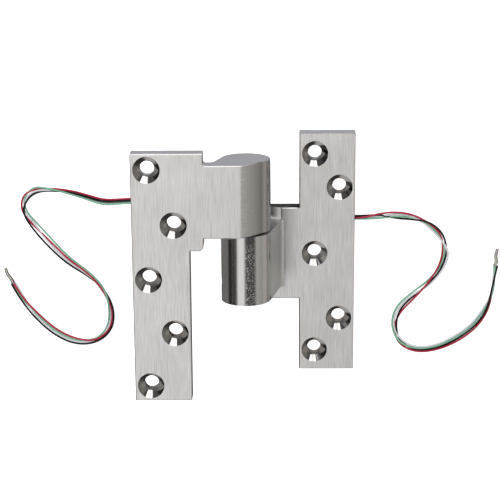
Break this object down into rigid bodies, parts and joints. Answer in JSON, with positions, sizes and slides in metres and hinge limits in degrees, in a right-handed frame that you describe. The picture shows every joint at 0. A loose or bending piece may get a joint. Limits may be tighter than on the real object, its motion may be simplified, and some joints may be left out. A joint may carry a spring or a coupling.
{
  "type": "pivot hinge",
  "caption": "Offset intermediate pivot hinge with two countersunk leaves, a hollow pivot pin and a wire lead through each leaf for door power transfer.",
  "frame": {"origin": "on the jamb leaf's back face, at mid height of that leaf, straight below the pivot axis", "axes": "+X from the door leaf to the jamb leaf, +Y along the pivot axis towards the door knuckle, +Z out of the leaves' screw faces"},
  "size_m": [0.2606, 0.1292, 0.0508],
  "materials": {
    "leaf_steel": "satin brushed stainless steel",
    "cover_steel": "rolled stainless sheet",
    "pin_steel": "ground steel",
    "screw_steel": "plain steel",
    "bearing_bronze": "oil-filled bronze",
    "grommet_rubber": "matte",
    "wire_insulation": "extruded vinyl",
    "tinned_copper": "tinned strands"
  },
  "bodies": {
    "jamb": {"jamb_leaf": "leaf_steel", "pivot_pin": "pin_steel", "thrust_washer": "bearing_bronze", "pin_set_screw": "screw_steel", "jamb_grommet": "grommet_rubber", "jamb_channel_cover": "cover_steel", "jamb_cover_screws": "screw_steel", "jamb_inner_wires": "wire_insulation", "jamb_lead": "wire_insulation", "jamb_lead_tips": "tinned_copper"},
    "door": {"door_leaf": "leaf_steel", "pin_bushing": "bearing_bronze", "door_grommet": "grommet_rubber", "door_channel_cover": "cover_steel", "door_cover_screws": "screw_steel", "door_inner_wires": "wire_insulation", "door_lead": "wire_insulation", "door_lead_tips": "tinned_copper"}
  },
  "joints": [
    {"name": "pivot", "type": "hinge", "parent": "jamb", "child": "door", "pos_m": [0, 0, 0.03175], "axis": [0, 1, 0], "range_deg": [0, 180]}
  ]
}
